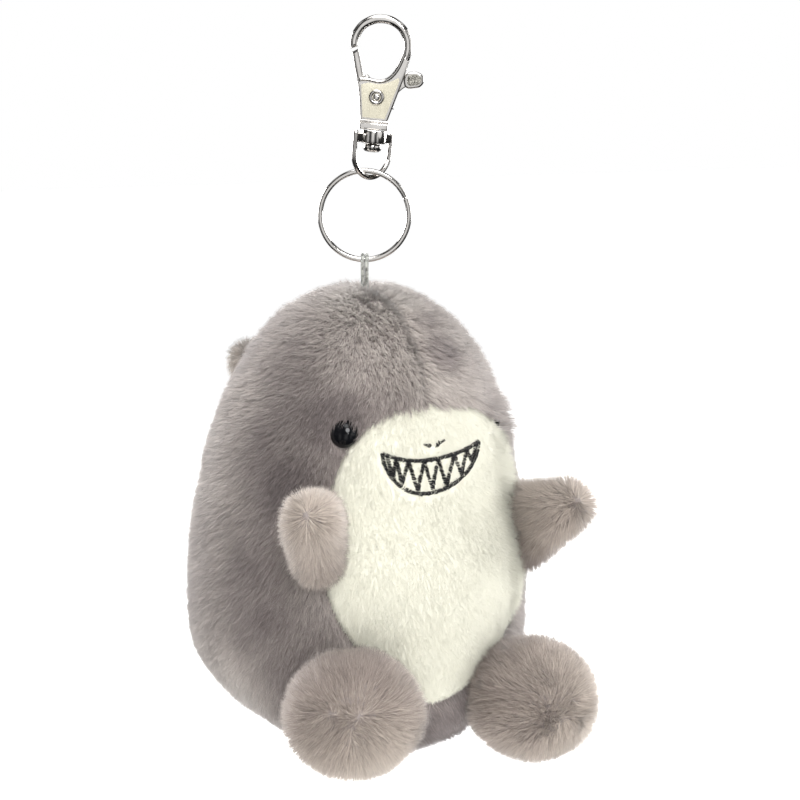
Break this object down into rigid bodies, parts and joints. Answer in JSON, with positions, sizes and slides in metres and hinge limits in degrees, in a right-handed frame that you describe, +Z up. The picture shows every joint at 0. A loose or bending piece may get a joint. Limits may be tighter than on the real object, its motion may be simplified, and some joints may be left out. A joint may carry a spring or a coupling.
{
  "type": "plush shark key clip",
  "caption": "Small stuffed shark with a white belly and embroidered grin, hanging by a cord loop and split ring from a swivel clasp.",
  "frame": {"origin": "inside top of the clasp's hook, where it hangs on what carries it", "axes": "+Z up, the shark faces -Y, +X to the shark's left"},
  "size_m": [0.0694, 0.109, 0.1536],
  "materials": {
    "nickel_plate": "bright nickel plating",
    "spring_steel": "plain steel",
    "braided_cord": "braided, slight sheen",
    "grey_pile": "medium pile, brushed",
    "white_pile": "short pile",
    "fibre_filling": "loose fibre",
    "bag_cloth": "plain weave",
    "pellet_plastic": "matte",
    "eye_plastic": "polished",
    "washer_plastic": "matte",
    "black_thread": "embroidery, slight sheen"
  },
  "bodies": {
    "clasp": {"clasp_hook": "nickel_plate", "gate_rivet": "nickel_plate", "gate_spring": "spring_steel", "swivel_stud": "nickel_plate"},
    "gate": {"clasp_gate": "nickel_plate"},
    "bail": {"swivel_bail": "nickel_plate"},
    "ring": {"split_ring": "nickel_plate"},
    "plush_body": {"cord_loop": "braided_cord", "side_panel_left": "grey_pile", "side_panel_right": "grey_pile", "belly_panel": "white_pile", "base_panel": "grey_pile", "body_stuffing": "fibre_filling", "pellet_bag": "bag_cloth", "pellets": "pellet_plastic", "eye_left": "eye_plastic", "eye_right": "eye_plastic", "eye_washer_left": "washer_plastic", "eye_washer_right": "washer_plastic", "mouth_stitching": "black_thread", "nostril_stitching": "black_thread"},
    "flipper_left": {"flipper_left": "grey_pile", "flipper_left_stuffing": "fibre_filling"},
    "flipper_right": {"flipper_right": "grey_pile", "flipper_right_stuffing": "fibre_filling"},
    "foot_left": {"foot_left": "grey_pile", "foot_left_sole": "grey_pile", "foot_left_stuffing": "fibre_filling"},
    "foot_right": {"foot_right": "grey_pile", "foot_right_sole": "grey_pile", "foot_right_stuffing": "fibre_filling"},
    "dorsal_fin": {"dorsal_fin": "grey_pile", "dorsal_fin_stuffing": "fibre_filling"},
    "tail_fin": {"tail_fin": "grey_pile", "tail_fin_stuffing": "fibre_filling"}
  },
  "joints": [
    {"name": "gate_hinge", "type": "hinge", "parent": "clasp", "child": "gate", "pos_m": [-0.001, 0.00057, -0.01526], "axis": [0.5, 0.866, 0], "range_deg": [0, 25], "stiffness_Nm_per_rad": 0.02, "springref_deg": -11.46, "deforming": ["gate_spring"]},
    {"name": "bail_swivel", "type": "hinge", "parent": "clasp", "child": "bail", "pos_m": [0, 0, 0], "axis": [0.0764, -0.0441, 0.9961], "continuous": true},
    {"name": "ring_swing", "type": "hinge", "parent": "bail", "child": "ring", "pos_m": [-0.00246, 0.00142, -0.03202], "axis": [0.9635, 0.2602, -0.0624], "range_deg": [-35, 35]},
    {"name": "plush_swing", "type": "hinge", "parent": "ring", "child": "plush_body", "pos_m": [-0.00341, 0.00197, -0.04943], "axis": [0.866, -0.5, 0], "range_deg": [-60, 60]},
    {"name": "flipper_left_flap", "type": "hinge", "parent": "plush_body", "child": "flipper_left", "pos_m": [0.02019, -0.02133, -0.10758], "axis": [0, 0, 1], "range_deg": [-15, 15], "stiffness_Nm_per_rad": 0.04},
    {"name": "flipper_right_flap", "type": "hinge", "parent": "plush_body", "child": "flipper_right", "pos_m": [-0.02701, -0.02133, -0.10758], "axis": [0, 0, -1], "range_deg": [-15, 15], "stiffness_Nm_per_rad": 0.04},
    {"name": "foot_left_tilt", "type": "hinge", "parent": "plush_body", "child": "foot_left", "pos_m": [0.01309, -0.02403, -0.14048], "axis": [0.8443, 0.5358, 0], "range_deg": [-4, 15], "stiffness_Nm_per_rad": 0.04},
    {"name": "foot_right_tilt", "type": "hinge", "parent": "plush_body", "child": "foot_right", "pos_m": [-0.01991, -0.02403, -0.13708], "axis": [0.8443, -0.5358, 0], "range_deg": [-4, 15], "stiffness_Nm_per_rad": 0.04},
    {"name": "dorsal_fin_wag", "type": "hinge", "parent": "plush_body", "child": "dorsal_fin", "pos_m": [-0.00341, 0.03597, -0.08958], "axis": [0, 0, 1], "range_deg": [-18, 18], "stiffness_Nm_per_rad": 0.04},
    {"name": "tail_fin_wag", "type": "hinge", "parent": "plush_body", "child": "tail_fin", "pos_m": [-0.00341, 0.03797, -0.13458], "axis": [0, 0, 1], "range_deg": [-12, 12], "stiffness_Nm_per_rad": 0.04}
  ]
}
